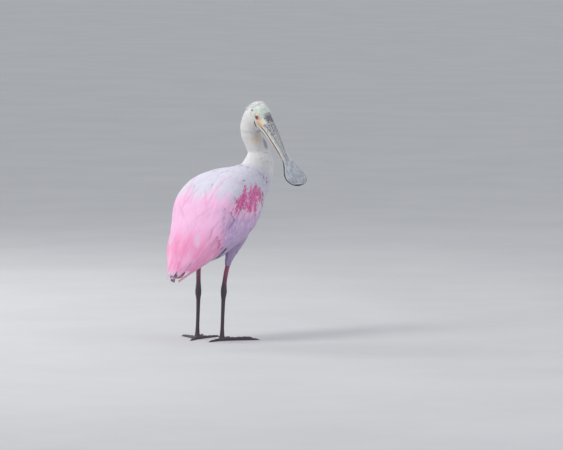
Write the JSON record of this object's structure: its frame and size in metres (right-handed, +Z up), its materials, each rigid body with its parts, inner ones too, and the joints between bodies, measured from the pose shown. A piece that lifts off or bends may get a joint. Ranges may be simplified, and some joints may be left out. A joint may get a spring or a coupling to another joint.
{
  "type": "roseate spoonbill",
  "caption": "Life-size still model of a roseate spoonbill that stands on both feet with folded pink wings and looks back over its right side.",
  "frame": {"origin": "on the ground, under the middle of the whole bird's box", "axes": "+Z up, the body faces -Y, the bird's right side is at -X"},
  "size_m": [0.2444, 0.3434, 0.4856],
  "materials": {
    "body_feathers": "soft matte body feathers, white on the back to pink on the belly",
    "wing_feathers": "matte pale pink vanes, deeper pink towards the rear, carmine at the wrist",
    "tail_feathers": "matte buff orange tail vanes under pink coverts",
    "neck_feathers": "short off-white neck feathers",
    "face_skin": "bare greenish grey skin among short off-white feathers",
    "bill": "pale grey horn with dark mottling and a dark rim",
    "eye": "wet eye with a red iris and a dark pupil",
    "shin_skin": "scaly skin, pinkish red turning dark at the hock",
    "leg_skin": "dark purplish grey scaly skin",
    "claw": "dark horn"
  },
  "bodies": {
    "root": {"bill_lower": "bill", "bill_upper": "bill", "claw_left_hind": "claw", "claw_left_inner": "claw", "claw_left_middle": "claw", "claw_left_outer": "claw", "claw_right_hind": "claw", "claw_right_inner": "claw", "claw_right_middle": "claw", "claw_right_outer": "claw", "eye_left": "eye", "eye_right": "eye", "foot_left": "leg_skin", "foot_right": "leg_skin", "head": "face_skin", "neck_lower": "neck_feathers", "neck_upper": "neck_feathers", "shank_left": "shin_skin", "shank_right": "shin_skin", "tail": "tail_feathers", "tarsus_left": "leg_skin", "tarsus_right": "leg_skin", "thigh_left": "body_feathers", "thigh_right": "body_feathers", "torso": "body_feathers", "wing_left": "wing_feathers", "wing_right": "wing_feathers"}
  },
  "joints": []
}
